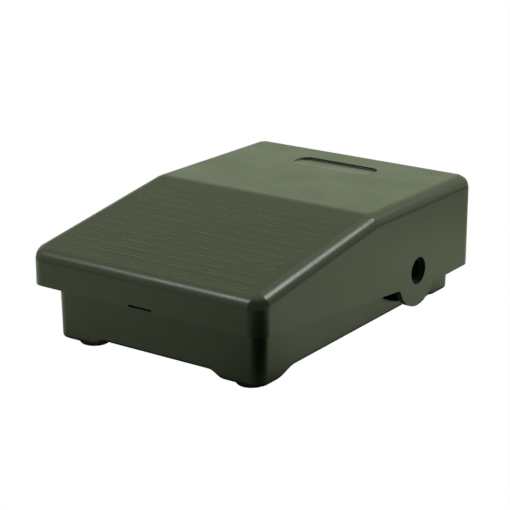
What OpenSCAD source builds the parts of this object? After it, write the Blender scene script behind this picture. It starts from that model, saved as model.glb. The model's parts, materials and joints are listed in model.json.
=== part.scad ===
// Foot pedal speed control for a sewing machine, in millimetres.
// +X is the user's right, +Y is the hinge end, +Z is up. The feet stand on z = 0.

/* [Cover] */
// Width of the pressed cover
cover_w = 110; // [108:1:112]
// Length of the pressed cover
cover_l = 159.5; // [158:0.5:162]
// Wall thickness of the cover and of the tray
wall = 2.5; // [2.2:0.1:2.6]
// Radius of the cover's rounded edges
edge_r = 5.5; // [5:0.5:6.5]
// Height of the front top edge
front_top_z = 41.4; // [41:0.1:42]
// Height of the crease, where the tread meets the flat top
crease_z = 53.2; // [53:0.1:54]
// Height of the rear top edge
rear_top_z = 52.2; // [52:0.1:53]
// Height of the skirt's bottom edge at the front
skirt_front_z = 26.5; // [26:0.1:27]
// Height of the skirt's bottom edge at the rear
skirt_rear_z = 13.2; // [13:0.1:14]

/* [Tread grooves] */
// Number of grooves across the tread
groove_count = 12; // [8:1:12]
// Distance from one groove to the next, along the length
groove_pitch = 5.63; // [5.5:0.01:5.7]
// Distance from the front face to the first groove
groove_first = 6.6; // [6.4:0.1:7]
// Half length of a groove
groove_half = 44.8; // [42:0.1:45]
// Width of a groove
groove_w = 2.6; // [2:0.1:3]
// Depth of a groove
groove_d = 0.5; // [0.4:0.1:0.8]

/* [Hinge] */
// Distance of the pivot from the middle of the length
pivot_y = 33.7; // [33:0.1:34.5]
// Height of the pivot
pivot_z = 21.6; // [21.4:0.1:22]
// Radius of the hole in each ear
ear_hole_r = 5.7; // [5.7:0.1:6]
// Outer radius of each ear
ear_r = 15; // [14.5:0.1:15.3]
// Radius of the bore through each hinge bush
bush_bore_r = 4.4; // [4:0.1:4.5]
// Travel of the cover in degrees
travel = 5; // [4:0.5:5]

/* [Tray] */
// Width of the tray
tray_w = 99; // [98:0.5:99.5]
// Length of the tray
tray_l = 143; // [140:0.5:144]
// Height of the tray's underside between the legs
tray_z = 5.4; // [5.2:0.1:5.6]
// Height of the underside of the legs
leg_z = 2.8; // [2.6:0.1:3.2]
// Height of the tray's rim
rim_z = 28.5; // [27:0.5:29]

/* [Feet] */
// Radius of a rubber foot
foot_r = 6.2; // [5.8:0.1:6.4]
// Distance of the feet from the middle of the width
foot_x = 38.1; // [37:0.1:39]
// Distance of the feet from the middle of the length
foot_y = 61.1; // [60:0.1:61.5]

/* [Hidden] */

half_w = cover_w / 2;
half_l = cover_l / 2;
// Slopes of the tread and of the flat top, and the skirt's slanted stretch
tread_slope = (crease_z - front_top_z) / half_l;
tread_angle = atan(tread_slope);
top_slope = (rear_top_z - crease_z) / half_l;
skirt_bend_y = 56.7;

fit = 0.05;         // radial clearance of a shaft or screw in its hole
gap = 0.3;          // clearance between parts that move past each other
floor_z = tray_z + wall + 0.5;  // the tray's floor is a little thicker than its walls
tray_hw = tray_w / 2;
tray_hl = tray_l / 2;
tray_front_r = 5.5;
tray_rear_r = 4;
// Where the soft steps down to the legs start and end, across and along
leg_x0 = 25.5;
leg_x1 = 30.5;
leg_y0 = 47.5;
leg_y1 = 59;

ear_x = half_w - wall;      // inner face of an ear
ear_boss_r = 9;
ear_boss_t = 2;
bush_r = ear_hole_r - fit;
bush_end_x = 53;
flange_r = 8;
flange_t = 2.4;

spring_x = 33;
spring_y = -45;
spring_r = 6;
spring_wire = 0.7;
spring_turns = 8;
post_r = 4.9;
post_h = 6;

stop_x = 33;
stop_y = -61;
pad_t = 3;
stop_pad_z = 26;    // top of the front stop pads
rest_y = 60;
rest_pad_z = 30;    // top of the rear rest pads
rib_t = 1.8;
rib_h = 4;
rib_x = 20;
rib_y0 = -64;       // clear of the tray's front wall when the cover is down
rib_y1 = 70;

board_z = 14;
board_t = 1.6;
board_w = 68;
board_y0 = -30;
board_y1 = 28;
standoff_x = 30;
standoff_y = [-26, 24];
part_z = board_z + board_t;     // face that the components stand on

guard_w = 78;
guard_y0 = -34.5;
guard_y1 = 32.5;
guard_top = 33;
guard_t = 1.5;
guard_screw_y = [-38.5, 36.5];

plunger_y = -20;
plunger_r = 2.5;
plunger_top = 38;
control_h = 10;

switch_x = 16;
lever_pivot_y = 0;
lever_pivot_z = 27;
lever_len = 16;
lever_t = 0.6;
lever_lift = 0.4;   // height of the plate's underside over the pin's axis
lever_angle = 17;
button_y = -6;
button_r = 1.2;

// Height of the cover's outer top at a distance y from the middle
function top_z(y) = y < 0 ? crease_z + tread_slope * y : crease_z + top_slope * y;

// A screw with a round head and a cross recess; its head's underside is at z = 0
module screw(head_r, head_h, shank_r, shank_l) {
    difference() {
        union() {
            cylinder(r = head_r, h = head_h, $fn = 40);
            translate([0, 0, -shank_l]) cylinder(r = shank_r, h = shank_l + 0.01, $fn = 32);
        }
        for (a = [0, 90])
            rotate([0, 0, a])
                translate([-head_r * 0.6, -head_r * 0.12, head_h * 0.45])
                    cube([head_r * 1.2, head_r * 0.24, head_h]);
    }
}

// A coil of wire along +Z from z = 0, swept ring by ring
module coil(radius, wire, turns, height, steps = 16, sides = 6) {
    rise = height - 2 * wire;
    rings = turns * steps;
    pts = [for (i = [0:rings], j = [0:sides - 1])
        let (a = 360 * i / steps, b = 360 * j / sides, r = radius + wire * cos(b))
        [r * cos(a), r * sin(a), wire + rise * i / rings + wire * sin(b)]];
    skin = [for (i = [0:rings - 1], j = [0:sides - 1])
        let (k = (j + 1) % sides)
        [i * sides + j, (i + 1) * sides + j, (i + 1) * sides + k, i * sides + k]];
    start = [for (j = [0:sides - 1]) j];
    end = [for (j = [sides - 1:-1:0]) rings * sides + j];
    polyhedron(points = pts, faces = concat(skin, [start, end]), convexity = 10);
}

// The cover's rounded outer form, shrunk inwards by inset
module cover_form(inset, bottom) {
    r = edge_r - inset;
    cx = half_w - edge_r;
    cy = half_l - edge_r;
    front_z = top_z(-cy) - edge_r / cos(tread_angle);
    hull() {
        for (x = [-cx, cx]) {
            for (y = [-cy, cy])
                translate([x, y, bottom]) cylinder(r = r, h = 4, $fn = 32);
            translate([x, -cy, front_z]) sphere(r = r, $fn = 32);
            translate([x, 0, crease_z - edge_r]) sphere(r = r, $fn = 32);
            translate([x, cy, top_z(cy) - edge_r]) sphere(r = r, $fn = 32);
        }
    }
}

// Everything below the cover's slanted bottom edge
module below_skirt() {
    slope = (skirt_front_z - skirt_rear_z) / (half_l + skirt_bend_y);
    translate([-half_w - 5, 0, 0])
        rotate([90, 0, 90])
            linear_extrude(cover_w + 10)
                polygon([[-half_l - 5, -5], [half_l + 5, -5], [half_l + 5, skirt_rear_z],
                    [skirt_bend_y, skirt_rear_z], [-half_l - 5, skirt_front_z + 5 * slope]]);
}

// One ear plate with its inner boss, for the right-hand side
module ear() {
    translate([ear_x, pivot_y, pivot_z])
        rotate([0, 90, 0])
            cylinder(r = ear_r, h = wall, $fn = 96);
    translate([ear_x, pivot_y - ear_r, pivot_z])
        cube([wall, 2 * ear_r, 4]);
    translate([ear_x - ear_boss_t, pivot_y, pivot_z])
        rotate([0, 90, 0])
            cylinder(r = ear_boss_r, h = ear_boss_t + 0.01, $fn = 64);
}

// Grooves across the tread, with round ends
module grooves() {
    for (i = [0:groove_count - 1]) {
        y = -half_l + groove_first + i * groove_pitch;
        translate([0, y, top_z(y)])
            rotate([tread_angle, 0, 0])
                translate([0, 0, -groove_d]) {
                    translate([-groove_half + groove_w / 2, -groove_w / 2, 0])
                        cube([2 * groove_half - groove_w, groove_w, 3]);
                    for (x = [-1, 1] * (groove_half - groove_w / 2))
                        translate([x, 0, 0]) cylinder(r = groove_w / 2, h = 3, $fn = 24);
                }
    }
}

// Shallow finger scoop near the hinge end, deep at its rear wall and running out forwards
module finger_recess(len_x = 39, len_y = 12, r = 5, depth = 1.05, rear_y = 62.4) {
    translate([0, rear_y, top_z(rear_y) - depth])
        rotate([atan(top_slope - depth / len_y), 0, 0])
            translate([0, -len_y / 2, 0])
                linear_extrude(6) {
                    square([len_x - 2 * r, len_y], center = true);
                    square([len_x, len_y - 2 * r], center = true);
                    for (x = [-1, 1] * (len_x / 2 - r), y = [-1, 1] * (len_y / 2 - r))
                        translate([x, y]) circle(r = r, $fn = 40);
                }
}

// Ribs, cups and posts that hang from the inside of the cover
module cover_inside() {
    for (x = [-rib_x, rib_x])
        translate([x - rib_t / 2, 0, 0])
            rotate([90, 0, 90])
                linear_extrude(rib_t)
                    polygon([[rib_y0, top_z(rib_y0) - wall - rib_h], [0, crease_z - wall - rib_h],
                        [rib_y1, top_z(rib_y1) - wall - rib_h], [rib_y1, top_z(rib_y1)],
                        [0, crease_z], [rib_y0, top_z(rib_y0)]]);
    for (x = [-spring_x, spring_x]) {
        cup_z = top_z(spring_y) - wall - 6;
        translate([x, spring_y, cup_z])
            difference() {
                cylinder(r = spring_r + 4.2, h = 14, $fn = 48);
                translate([0, 0, -1]) cylinder(r = spring_r + 2.7, h = 16, $fn = 48);
            }
        stop_rib_z = stop_pad_z + gap + (pivot_y - stop_y) * sin(travel);
        translate([x - 4, stop_y - 2, stop_rib_z]) cube([8, 4, 20]);
        translate([x - 4, rest_y - 2, rest_pad_z + gap]) cube([8, 4, 30]);
    }
    translate([0, plunger_y, plunger_top + gap]) cylinder(r = 3.5, h = 20, $fn = 40);
    lever_tip_z = lever_pivot_z + lever_len * sin(lever_angle) + (lever_lift + lever_t) * cos(lever_angle);
    translate([switch_x - 3, -17.2, lever_tip_z + gap]) cube([6, 3.2, 30]);
}

module pedal_cover() {
    color([0.16, 0.19, 0.15])
        difference() {
            union() {
                difference() {
                    cover_form(0, 6);
                    cover_form(wall, 3);
                    below_skirt();
                }
                intersection() {
                    cover_form(0.6, 6);
                    cover_inside();
                }
                ear();
                mirror([1, 0, 0]) ear();
            }
            grooves();
            finger_recess();
            translate([-half_w - 1, pivot_y, pivot_z])
                rotate([0, 90, 0])
                    cylinder(r = ear_hole_r, h = cover_w + 2, $fn = 96);
            translate([-5.5, -half_l - 1, skirt_front_z + 0.4])
                cube([11, 2.6, 0.9]);
        }
}

module tray_outline(inset) {
    x = tray_hw - inset;
    y = tray_hl - inset;
    front_x = tray_hw - tray_front_r;
    front_y = tray_hl - tray_front_r;
    rear_x = tray_hw - tray_rear_r;
    rear_y = tray_hl - tray_rear_r;
    polygon([[x, -front_y], [x, rear_y], [rear_x, y], [-rear_x, y],
        [-x, rear_y], [-x, -front_y], [-front_x, -y], [front_x, -y]]);
    for (m = [0, 1])
        mirror([m, 0]) {
            translate([front_x, -front_y]) circle(r = tray_front_r - inset, $fn = 48);
            translate([rear_x, rear_y]) circle(r = tray_rear_r - inset, $fn = 48);
        }
}

// Points of the soft step from the tray's underside down to a leg
function step_points(from, to, steps = 8) = [for (i = [0:steps])
    let (t = i / steps)
    [from + (to - from) * t, tray_z + (leg_z - tray_z) * (1 - cos(180 * t)) / 2]];

// The four corner legs, stepping down below the tray's underside
module legs() {
    intersection() {
        translate([0, 0, leg_z]) linear_extrude(floor_z - leg_z) tray_outline(0);
        translate([0, tray_l / 2 + 1, 0])
            rotate([90, 0, 0])
                linear_extrude(tray_l + 2)
                    for (m = [0, 1])
                        mirror([m, 0])
                            polygon(concat(step_points(leg_x0, leg_x1),
                                [[52, leg_z], [52, floor_z], [leg_x0, floor_z]]));
        translate([-tray_w / 2 - 1, 0, 0])
            rotate([90, 0, 90])
                linear_extrude(tray_w + 2)
                    for (m = [0, 1])
                        mirror([m, 0])
                            polygon(concat(step_points(leg_y0, leg_y1),
                                [[72, leg_z], [72, floor_z], [leg_y0, floor_z]]));
    }
}

// Relief cut in a side wall, just in front of the hinge
module side_relief() {
    translate([tray_hw - wall - 1, 0, 0])
        rotate([90, 0, 90])
            linear_extrude(wall + 2)
                difference() {
                    polygon([[13.5, rim_z + 1], [15.7, 13.4], [23.2, 10.4], [28.5, floor_z + 0.2],
                        [pivot_y, floor_z + 0.2], [pivot_y, rim_z + 1]]);
                    translate([pivot_y, pivot_z]) circle(r = 9.5, $fn = 64);
                }
}

module base_tray() {
    color([0.14, 0.17, 0.13])
        difference() {
            union() {
                difference() {
                    translate([0, 0, tray_z]) linear_extrude(rim_z - tray_z) tray_outline(0);
                    translate([0, 0, floor_z]) linear_extrude(rim_z) tray_outline(wall);
                }
                legs();
                for (x = [-foot_x, foot_x], y = [-foot_y, foot_y])
                    translate([x, y, leg_z]) {
                        cylinder(r = foot_r + 1, h = floor_z - leg_z, $fn = 64);
                        cylinder(r = 3.6, h = 8.2, $fn = 40);
                    }
                for (s = [-1, 1])
                    translate([s * (tray_hw - wall / 2), pivot_y, pivot_z])
                        rotate([0, 90, 0])
                            cylinder(r = 9.5, h = wall, center = true, $fn = 64);
                for (x = [-spring_x, spring_x])
                    translate([x, spring_y, floor_z - 0.5])
                        cylinder(r = post_r, h = post_h + 0.5, $fn = 48);
                for (x = [-stop_x, stop_x]) {
                    translate([x - 3.5, -tray_hl + 1, floor_z - 0.5])
                        cube([7, stop_y + tray_hl + 3, stop_pad_z - pad_t - floor_z + 0.5]);
                    translate([x - 3.5, rest_y - 4, floor_z - 0.5])
                        cube([7, tray_hl - rest_y + 3, rest_pad_z - pad_t - floor_z + 0.5]);
                }
                for (x = [-standoff_x, standoff_x], y = standoff_y)
                    translate([x, y, floor_z - 0.5])
                        cylinder(r = 3, h = board_z - floor_z + 0.5, $fn = 40);
                for (y = guard_screw_y)
                    translate([0, y, floor_z - 0.5]) cylinder(r = 3, h = 3.5, $fn = 40);
            }
            side_relief();
            mirror([1, 0, 0]) side_relief();
            translate([-tray_hw - 1, pivot_y, pivot_z])
                rotate([0, 90, 0])
                    cylinder(r = ear_hole_r, h = tray_w + 2, $fn = 96);
            for (x = [-foot_x, foot_x], y = [-foot_y, foot_y])
                translate([x, y, 0]) {
                    translate([0, 0, leg_z - 1])
                        cylinder(r = foot_r + fit, h = 2.3, $fn = 64);
                    cylinder(r = 1.4 + fit, h = 10.6, $fn = 32);
                }
            for (x = [-stop_x, stop_x]) {
                translate([x, stop_y, stop_pad_z - pad_t - 3])
                    cylinder(r = 1.5 + fit, h = 4, $fn = 32);
                translate([x, rest_y, rest_pad_z - pad_t - 3])
                    cylinder(r = 1.5 + fit, h = 4, $fn = 32);
            }
            for (x = [-standoff_x, standoff_x], y = standoff_y)
                translate([x, y, floor_z + 0.6])
                    cylinder(r = 1.1 + fit, h = 6, $fn = 32);
            for (y = guard_screw_y)
                translate([0, y, tray_z + 1]) cylinder(r = 1.1 + fit, h = 6, $fn = 32);
        }
}

module rubber_feet() {
    foot_top = leg_z + 1.3;
    color([0.05, 0.05, 0.05])
        for (x = [-foot_x, foot_x], y = [-foot_y, foot_y])
            translate([x, y, 0])
                rotate_extrude($fn = 64)
                    polygon([[3, 0], [foot_r - 0.9, 0], [foot_r, 1.2], [foot_r, foot_top],
                        [1.6, foot_top], [1.6, 2.2], [3, 2.2]]);
}

module foot_screws() {
    color([0.7, 0.7, 0.72])
        for (x = [-foot_x, foot_x], y = [-foot_y, foot_y])
            translate([x, y, 2.2])
                mirror([0, 0, 1])
                    screw(2.7, 1.4, 1.4, 8);
}

// Hollow hinge bush for the right-hand side, along X
module hinge_bush() {
    x0 = tray_hw - wall - flange_t;
    translate([x0, pivot_y, pivot_z])
        rotate([0, 90, 0])
            rotate_extrude($fn = 96)
                polygon([[bush_bore_r, 0], [flange_r, 0], [flange_r, flange_t],
                    [bush_r, flange_t], [bush_r, tray_hw - x0 + 0.05], [4.95, tray_hw - x0 + 0.05],
                    [4.95, tray_hw - x0 + 0.7], [bush_r, tray_hw - x0 + 0.7],
                    [bush_r, bush_end_x - x0], [bush_bore_r, bush_end_x - x0]]);
}

module hinge_bush_left() { color([0.03, 0.03, 0.03]) mirror([1, 0, 0]) hinge_bush(); }

module hinge_bush_right() { color([0.03, 0.03, 0.03]) hinge_bush(); }

// Split rings in the grooves of the bushes
module bush_rings() {
    color([0.75, 0.75, 0.77])
        for (m = [0, 1])
            mirror([m, 0, 0])
                translate([tray_hw + 0.07, pivot_y, pivot_z])
                    rotate([0, 90, 0])
                        difference() {
                            cylinder(r = 7.6, h = 0.6, $fn = 64);
                            translate([0, 0, -1]) cylinder(r = 5, h = 3, $fn = 64);
                            translate([3, -2.5, -1]) cube([6, 5, 3]);
                        }
}

module return_spring(x) {
    z0 = floor_z + 0.02;
    tip_y = spring_y - spring_r - spring_wire;
    translate([x, spring_y, z0])
        coil(spring_r, spring_wire, spring_turns, top_z(tip_y) - wall - 0.3 - z0);
}

module return_spring_left() { color([0.7, 0.7, 0.72]) return_spring(-spring_x); }

module return_spring_right() { color([0.7, 0.7, 0.72]) return_spring(spring_x); }

// Rubber buffer with a stem that plugs into a post
module buffer_pad(r) {
    cylinder(r = r, h = pad_t, $fn = 40);
    translate([0, 0, -2.5]) cylinder(r = 1.5, h = 3, $fn = 32);
}

module front_stop_pads() {
    color([0.06, 0.06, 0.06])
        for (x = [-stop_x, stop_x])
            translate([x, stop_y, stop_pad_z - pad_t]) buffer_pad(3.2);
}

module rear_rest_pads() {
    color([0.06, 0.06, 0.06])
        for (x = [-stop_x, stop_x])
            translate([x, rest_y, rest_pad_z - pad_t]) buffer_pad(3.2);
}

module inner_guard() {
    z0 = floor_z + 0.1;
    mid_y = (guard_y0 + guard_y1) / 2;
    len_y = guard_y1 - guard_y0;
    color([0.75, 0.75, 0.7])
        difference() {
            union() {
                translate([-guard_w / 2, guard_y0, z0]) cube([guard_w, len_y, guard_top - z0]);
                for (y = guard_screw_y)
                    translate([0, y, floor_z + 3.02]) cylinder(r = 4, h = guard_t, $fn = 40);
                for (s = [-1, 1])
                    translate([-4, s > 0 ? guard_y1 - 0.5 : guard_screw_y[0], floor_z + 3.02])
                        cube([8, 4.4, guard_t]);
            }
            translate([-guard_w / 2 + guard_t, guard_y0 + guard_t, z0 - 1])
                cube([guard_w - 2 * guard_t, len_y - 2 * guard_t, guard_top - z0 + 1 - guard_t]);
            translate([0, plunger_y, guard_top - 3]) cylinder(r = 6.5, h = 5, $fn = 48);
            translate([switch_x - 4.5, -19, guard_top - 3]) cube([9, 22, 5]);
            for (y = guard_screw_y)
                translate([0, y, z0]) cylinder(r = 1.3, h = 8, $fn = 32);
            translate([-guard_w / 2 - 1, 18, z0 - 1]) cube([guard_w + 2, 9, 13]);
        }
}

module guard_screws() {
    color([0.7, 0.7, 0.72])
        for (y = guard_screw_y)
            translate([0, y, floor_z + 3.02 + guard_t])
                screw(2.4, 1.4, 1.1, 5);
}

module circuit_board() {
    color([0.55, 0.4, 0.2])
        difference() {
            translate([-board_w / 2, board_y0, board_z])
                cube([board_w, board_y1 - board_y0, board_t]);
            for (x = [-standoff_x, standoff_x], y = standoff_y)
                translate([x, y, board_z - 1]) cylinder(r = 1.3, h = 4, $fn = 32);
        }
}

module board_screws() {
    color([0.7, 0.7, 0.72])
        for (x = [-standoff_x, standoff_x], y = standoff_y)
            translate([x, y, part_z]) screw(2.2, 1.3, 1.1, 6);
}

module speed_control_body() {
    color([0.1, 0.2, 0.4])
        difference() {
            translate([-8, plunger_y - 7, part_z]) cube([16, 14, control_h]);
            translate([0, plunger_y, part_z + 0.6])
                cylinder(r = plunger_r + fit, h = control_h, $fn = 48);
        }
}

module speed_plunger() {
    color([0.85, 0.85, 0.8])
        translate([0, plunger_y, 0]) {
            translate([0, 0, part_z + 6]) cylinder(r = plunger_r, h = 14, $fn = 48);
            translate([0, 0, plunger_top - 3]) cylinder(r = 5, h = 3, $fn = 48);
        }
}

module plunger_spring() {
    z0 = part_z + control_h + 0.02;
    color([0.7, 0.7, 0.72])
        translate([0, plunger_y, z0])
            coil(3.6, 0.35, 6, plunger_top - 3.1 - z0, steps = 12);
}

module switch_body() {
    color([0.08, 0.08, 0.08])
        difference() {
            union() {
                translate([switch_x - 3.2, -17, part_z]) cube([6.4, 20, control_h]);
                for (x = [switch_x - 3.2, switch_x + 1.8])
                    translate([x, lever_pivot_y - 1.5, part_z + control_h - 0.5])
                        cube([1.4, 3, 4]);
            }
            translate([switch_x, button_y, part_z + 5]) cylinder(r = button_r + fit, h = 8, $fn = 40);
            translate([switch_x - 5, lever_pivot_y, lever_pivot_z])
                rotate([0, 90, 0])
                    cylinder(r = 0.6 + fit, h = 10, $fn = 32);
        }
}

// Pin through the switch's lugs, on which the lever turns
module lever_pin() {
    color([0.75, 0.75, 0.77])
        translate([switch_x - 3.2, lever_pivot_y, lever_pivot_z])
            rotate([0, 90, 0])
                cylinder(r = 0.6, h = 6.4, $fn = 32);
}

module switch_lever() {
    color([0.8, 0.8, 0.82])
        translate([switch_x, lever_pivot_y, lever_pivot_z])
            rotate([-lever_angle, 0, 0])
                difference() {
                    union() {
                        translate([-1.3, -lever_len, lever_lift]) cube([2.6, lever_len, lever_t]);
                        translate([-1.3, 0, 0]) rotate([0, 90, 0]) cylinder(r = 1.2, h = 2.6, $fn = 40);
                    }
                    translate([-3, 0, 0])
                        rotate([0, 90, 0])
                            cylinder(r = 0.6 + fit, h = 6, $fn = 32);
                }
}

module switch_button() {
    color([0.8, 0.1, 0.1])
        translate([switch_x, button_y, part_z + 7.3])
            cylinder(r = button_r, h = 5.3, $fn = 40);
}

// Aluminium angle that carries the power switch device
module heat_sink() {
    color([0.75, 0.77, 0.8])
        difference() {
            union() {
                translate([-27, 16, part_z]) cube([26, 1.6, 14]);
                for (i = [0:4])
                    translate([-27 + i * 6.1, 17.5, part_z]) cube([1.6, 6, 14]);
            }
            translate([-14, 10, part_z + 10])
                rotate([-90, 0, 0])
                    cylinder(r = 1.5 + fit, h = 12, $fn = 32);
        }
}

module triac() {
    color([0.08, 0.08, 0.08])
        difference() {
            union() {
                translate([-19, 11.4, part_z + 1.5]) cube([10, 4.58, 6]);
                translate([-19, 14.7, part_z + 1.5]) cube([10, 1.28, 11.5]);
                for (x = [-16.5, -14, -11.5])
                    translate([x - 0.4, 13, part_z]) cube([0.8, 0.6, 2]);
            }
            translate([-14, 10, part_z + 10])
                rotate([-90, 0, 0])
                    cylinder(r = 1.5 + fit, h = 8, $fn = 32);
        }
}

module triac_screw() {
    color([0.7, 0.7, 0.72])
        translate([-14, 14.68, part_z + 10])
            rotate([90, 0, 0])
                screw(2.4, 1.4, 1.5, 3.4);
}

choke_at = [-22, 0, part_z + 4.2];

module choke_core() {
    color([0.2, 0.2, 0.22])
        translate(choke_at)
            rotate_extrude($fn = 64)
                translate([7.5, 0]) square([4, 5], center = true);
}

// Flat bands of enamelled wire wound round the ring
module choke_winding() {
    color([0.7, 0.35, 0.15])
        translate(choke_at)
            for (a = [0:24:359])
                rotate([0, 0, a])
                    translate([7.5, 0, 0])
                        difference() {
                            cube([6, 1.8, 7], center = true);
                            cube([4.3, 3, 5.04], center = true);
                        }
}

module suppression_capacitor() {
    color([0.75, 0.6, 0.1])
        translate([8, 8, part_z]) cube([18, 8, 12]);
}

fuse_at = [-19.5, -18, part_z + 4.2];

module fuse_tube() {
    color([0.8, 0.85, 0.85])
        translate(fuse_at)
            rotate([0, 90, 0])
                cylinder(r = 2.6, h = 20, center = true, $fn = 40);
}

module fuse_clips() {
    color([0.8, 0.65, 0.3])
        for (x = [-7.5, 7.5])
            translate([fuse_at[0] + x, fuse_at[1], part_z])
                difference() {
                    translate([-2, -3.2, 0]) cube([4, 6.4, 6]);
                    translate([-3, 0, 4.2]) rotate([0, 90, 0]) cylinder(r = 2.6 + fit, h = 6, $fn = 40);
                    translate([-3, -2, 4.2]) cube([6, 4, 4]);
                }
}

module resistors() {
    color([0.75, 0.65, 0.45])
        for (i = [0:2])
            translate([25, -21 + 6 * i, part_z + 1.3])
                rotate([0, 90, 0]) {
                    cylinder(r = 1.2, h = 7, center = true, $fn = 32);
                    cylinder(r = 0.3, h = 10, center = true, $fn = 16);
                }
}

module terminal_block() {
    color([0.15, 0.35, 0.2])
        difference() {
            translate([3, 19.5, part_z]) cube([21, 7, 9]);
            for (i = [0:2])
                translate([6.5 + 7 * i, 23, part_z + 4]) {
                    cylinder(r = 2.1, h = 8, $fn = 32);
                    translate([-1.5, -6, -2.6]) cube([3, 12, 3]);
                }
        }
}

module terminal_screws() {
    color([0.7, 0.7, 0.72])
        for (i = [0:2])
            translate([6.5 + 7 * i, 23, part_z + 6.4])
                screw(2.05, 1.6, 1.2, 2.6);
}

pedal_cover();
base_tray();
rubber_feet();
foot_screws();
hinge_bush_left();
hinge_bush_right();
bush_rings();
return_spring_left();
return_spring_right();
front_stop_pads();
rear_rest_pads();
inner_guard();
guard_screws();
circuit_board();
board_screws();
speed_control_body();
speed_plunger();
plunger_spring();
switch_body();
switch_lever();
switch_button();
lever_pin();
heat_sink();
triac();
triac_screw();
choke_core();
choke_winding();
suppression_capacitor();
fuse_tube();
fuse_clips();
resistors();
terminal_block();
terminal_screws();
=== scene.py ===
import json
import math

import bmesh
import bpy
from mathutils import Matrix, Vector


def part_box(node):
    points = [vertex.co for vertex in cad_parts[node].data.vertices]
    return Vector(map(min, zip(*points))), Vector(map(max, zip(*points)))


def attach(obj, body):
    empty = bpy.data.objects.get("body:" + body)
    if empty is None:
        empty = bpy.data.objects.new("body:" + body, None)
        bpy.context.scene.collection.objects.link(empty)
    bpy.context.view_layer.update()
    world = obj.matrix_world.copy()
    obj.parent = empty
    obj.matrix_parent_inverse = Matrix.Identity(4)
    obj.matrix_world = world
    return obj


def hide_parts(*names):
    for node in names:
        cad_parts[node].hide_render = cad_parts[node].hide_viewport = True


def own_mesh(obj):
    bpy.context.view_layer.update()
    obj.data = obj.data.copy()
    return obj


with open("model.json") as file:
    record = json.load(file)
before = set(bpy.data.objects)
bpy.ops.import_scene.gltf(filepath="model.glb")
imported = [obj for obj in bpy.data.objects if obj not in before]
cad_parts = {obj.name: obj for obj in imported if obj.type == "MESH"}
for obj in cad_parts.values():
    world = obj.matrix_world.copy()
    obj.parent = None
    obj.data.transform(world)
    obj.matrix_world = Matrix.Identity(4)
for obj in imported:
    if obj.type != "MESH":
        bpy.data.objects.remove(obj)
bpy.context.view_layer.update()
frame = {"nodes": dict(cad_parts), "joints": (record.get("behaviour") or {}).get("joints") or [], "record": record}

MM = 0.001

# ---------------------------------------------------------------- sizes, in metres

cover_lo, cover_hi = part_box("pedal_cover")
tray_lo, tray_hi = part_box("base_tray")
half_w, half_l = cover_hi.x, cover_hi.y
crease_z = cover_hi.z
pivot = Vector(next(j for j in frame["joints"] if j["name"] == "treadle_pivot")["pos_m"])

wall = 2.5 * MM
front_top_z = 41.4 * MM
rear_top_z = 52.2 * MM
skirt_front_z = 26.5 * MM
skirt_rear_z = 13.2 * MM
skirt_bend_y = 56.7 * MM
ear_r = pivot.z - cover_lo.z
ear_hole_r = 5.7 * MM
ear_boss_r = 9 * MM
ear_fillet_r = 2.5 * MM

slot_half, slot_depth = 5.5 * MM, 1.6 * MM
slot_lip, slot_top = 0.4 * MM, 1.3 * MM

side_edge_r = 5.3 * MM
upright_edge_r = 6.5 * MM
crease_soften = 1.6 * MM

groove_count = 12
groove_pitch = 5.63 * MM
groove_first = 6.6 * MM
groove_half = 44.8 * MM
groove_w = 3.0 * MM
groove_d = 0.36 * MM

tray_hw, tray_hl = tray_hi.x, tray_hi.y
tray_z = 5.4 * MM
leg_z = tray_lo.z
rim_z = 28.5 * MM
floor_z = tray_z + wall + 0.5 * MM
tray_front_r, tray_rear_r = 5.5 * MM, 4.0 * MM
tray_foot_round = 1.6 * MM

foot_x, foot_y, foot_r = 38.1 * MM, 61.1 * MM, 6.2 * MM
fit = 0.05 * MM

# What hangs from the inside of the cover
travel = math.radians(5)
rib_x, rib_half, rib_h = 20 * MM, 0.9 * MM, 4 * MM
rib_front_y, rib_rear_y = -64 * MM, 70 * MM
spring_x, spring_y = 33 * MM, -45 * MM
cup_inner_r, cup_outer_r = 8.7 * MM, 10.2 * MM
cup_drop, cup_reach = 6 * MM, 7.2 * MM
post_y, post_r = -20 * MM, 3.5 * MM
gap = 0.3 * MM

# What stands in the tray
stop_x, stop_y, stop_pad_top = 33 * MM, 61 * MM, 26.3 * MM
rest_rib_z = 30.3 * MM
sink = 0.5 * MM
hinge_boss_r = 9.5 * MM
guard_post_ys = (-38.5 * MM, 36.5 * MM)
relief_floor_z = 8.6 * MM
cut_reach = 4 * MM


def top_z(y):
    """Height of the cover's outer top at y, taken as a sharp crease."""
    end_z, end_y = (front_top_z, -half_l) if y < 0 else (rear_top_z, half_l)
    return crease_z + (end_z - crease_z) * y / end_y


# ---------------------------------------------------------------- mesh helpers

def new_object(name, bm):
    """Makes a mesh object from a bmesh, with its normals turned outwards."""
    bmesh.ops.recalc_face_normals(bm, faces=bm.faces)
    mesh = bpy.data.meshes.new(name)
    bm.to_mesh(mesh)
    bm.free()
    obj = bpy.data.objects.new(name, mesh)
    bpy.context.scene.collection.objects.link(obj)
    return obj


def bake(obj):
    """Applies the object's modifiers."""
    bpy.context.view_layer.update()
    graph = bpy.context.evaluated_depsgraph_get()
    mesh = bpy.data.meshes.new_from_object(obj.evaluated_get(graph))
    obj.modifiers.clear()
    old = obj.data
    obj.data = mesh
    mesh.name = obj.name
    bpy.data.meshes.remove(old)
    return obj


def combine(obj, other, operation):
    """Adds or cuts away another closed solid, which is then removed."""
    mod = obj.modifiers.new(operation.lower(), "BOOLEAN")
    mod.operation = operation
    mod.solver = "EXACT"
    mod.object = other
    bake(obj)
    bpy.data.objects.remove(other)
    return obj


def joined(name, solids):
    """One object that holds several closed solids."""
    bm = bmesh.new()
    for solid in solids:
        bm.from_mesh(solid.data)
        bpy.data.objects.remove(solid)
    return new_object(name, bm)


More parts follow.
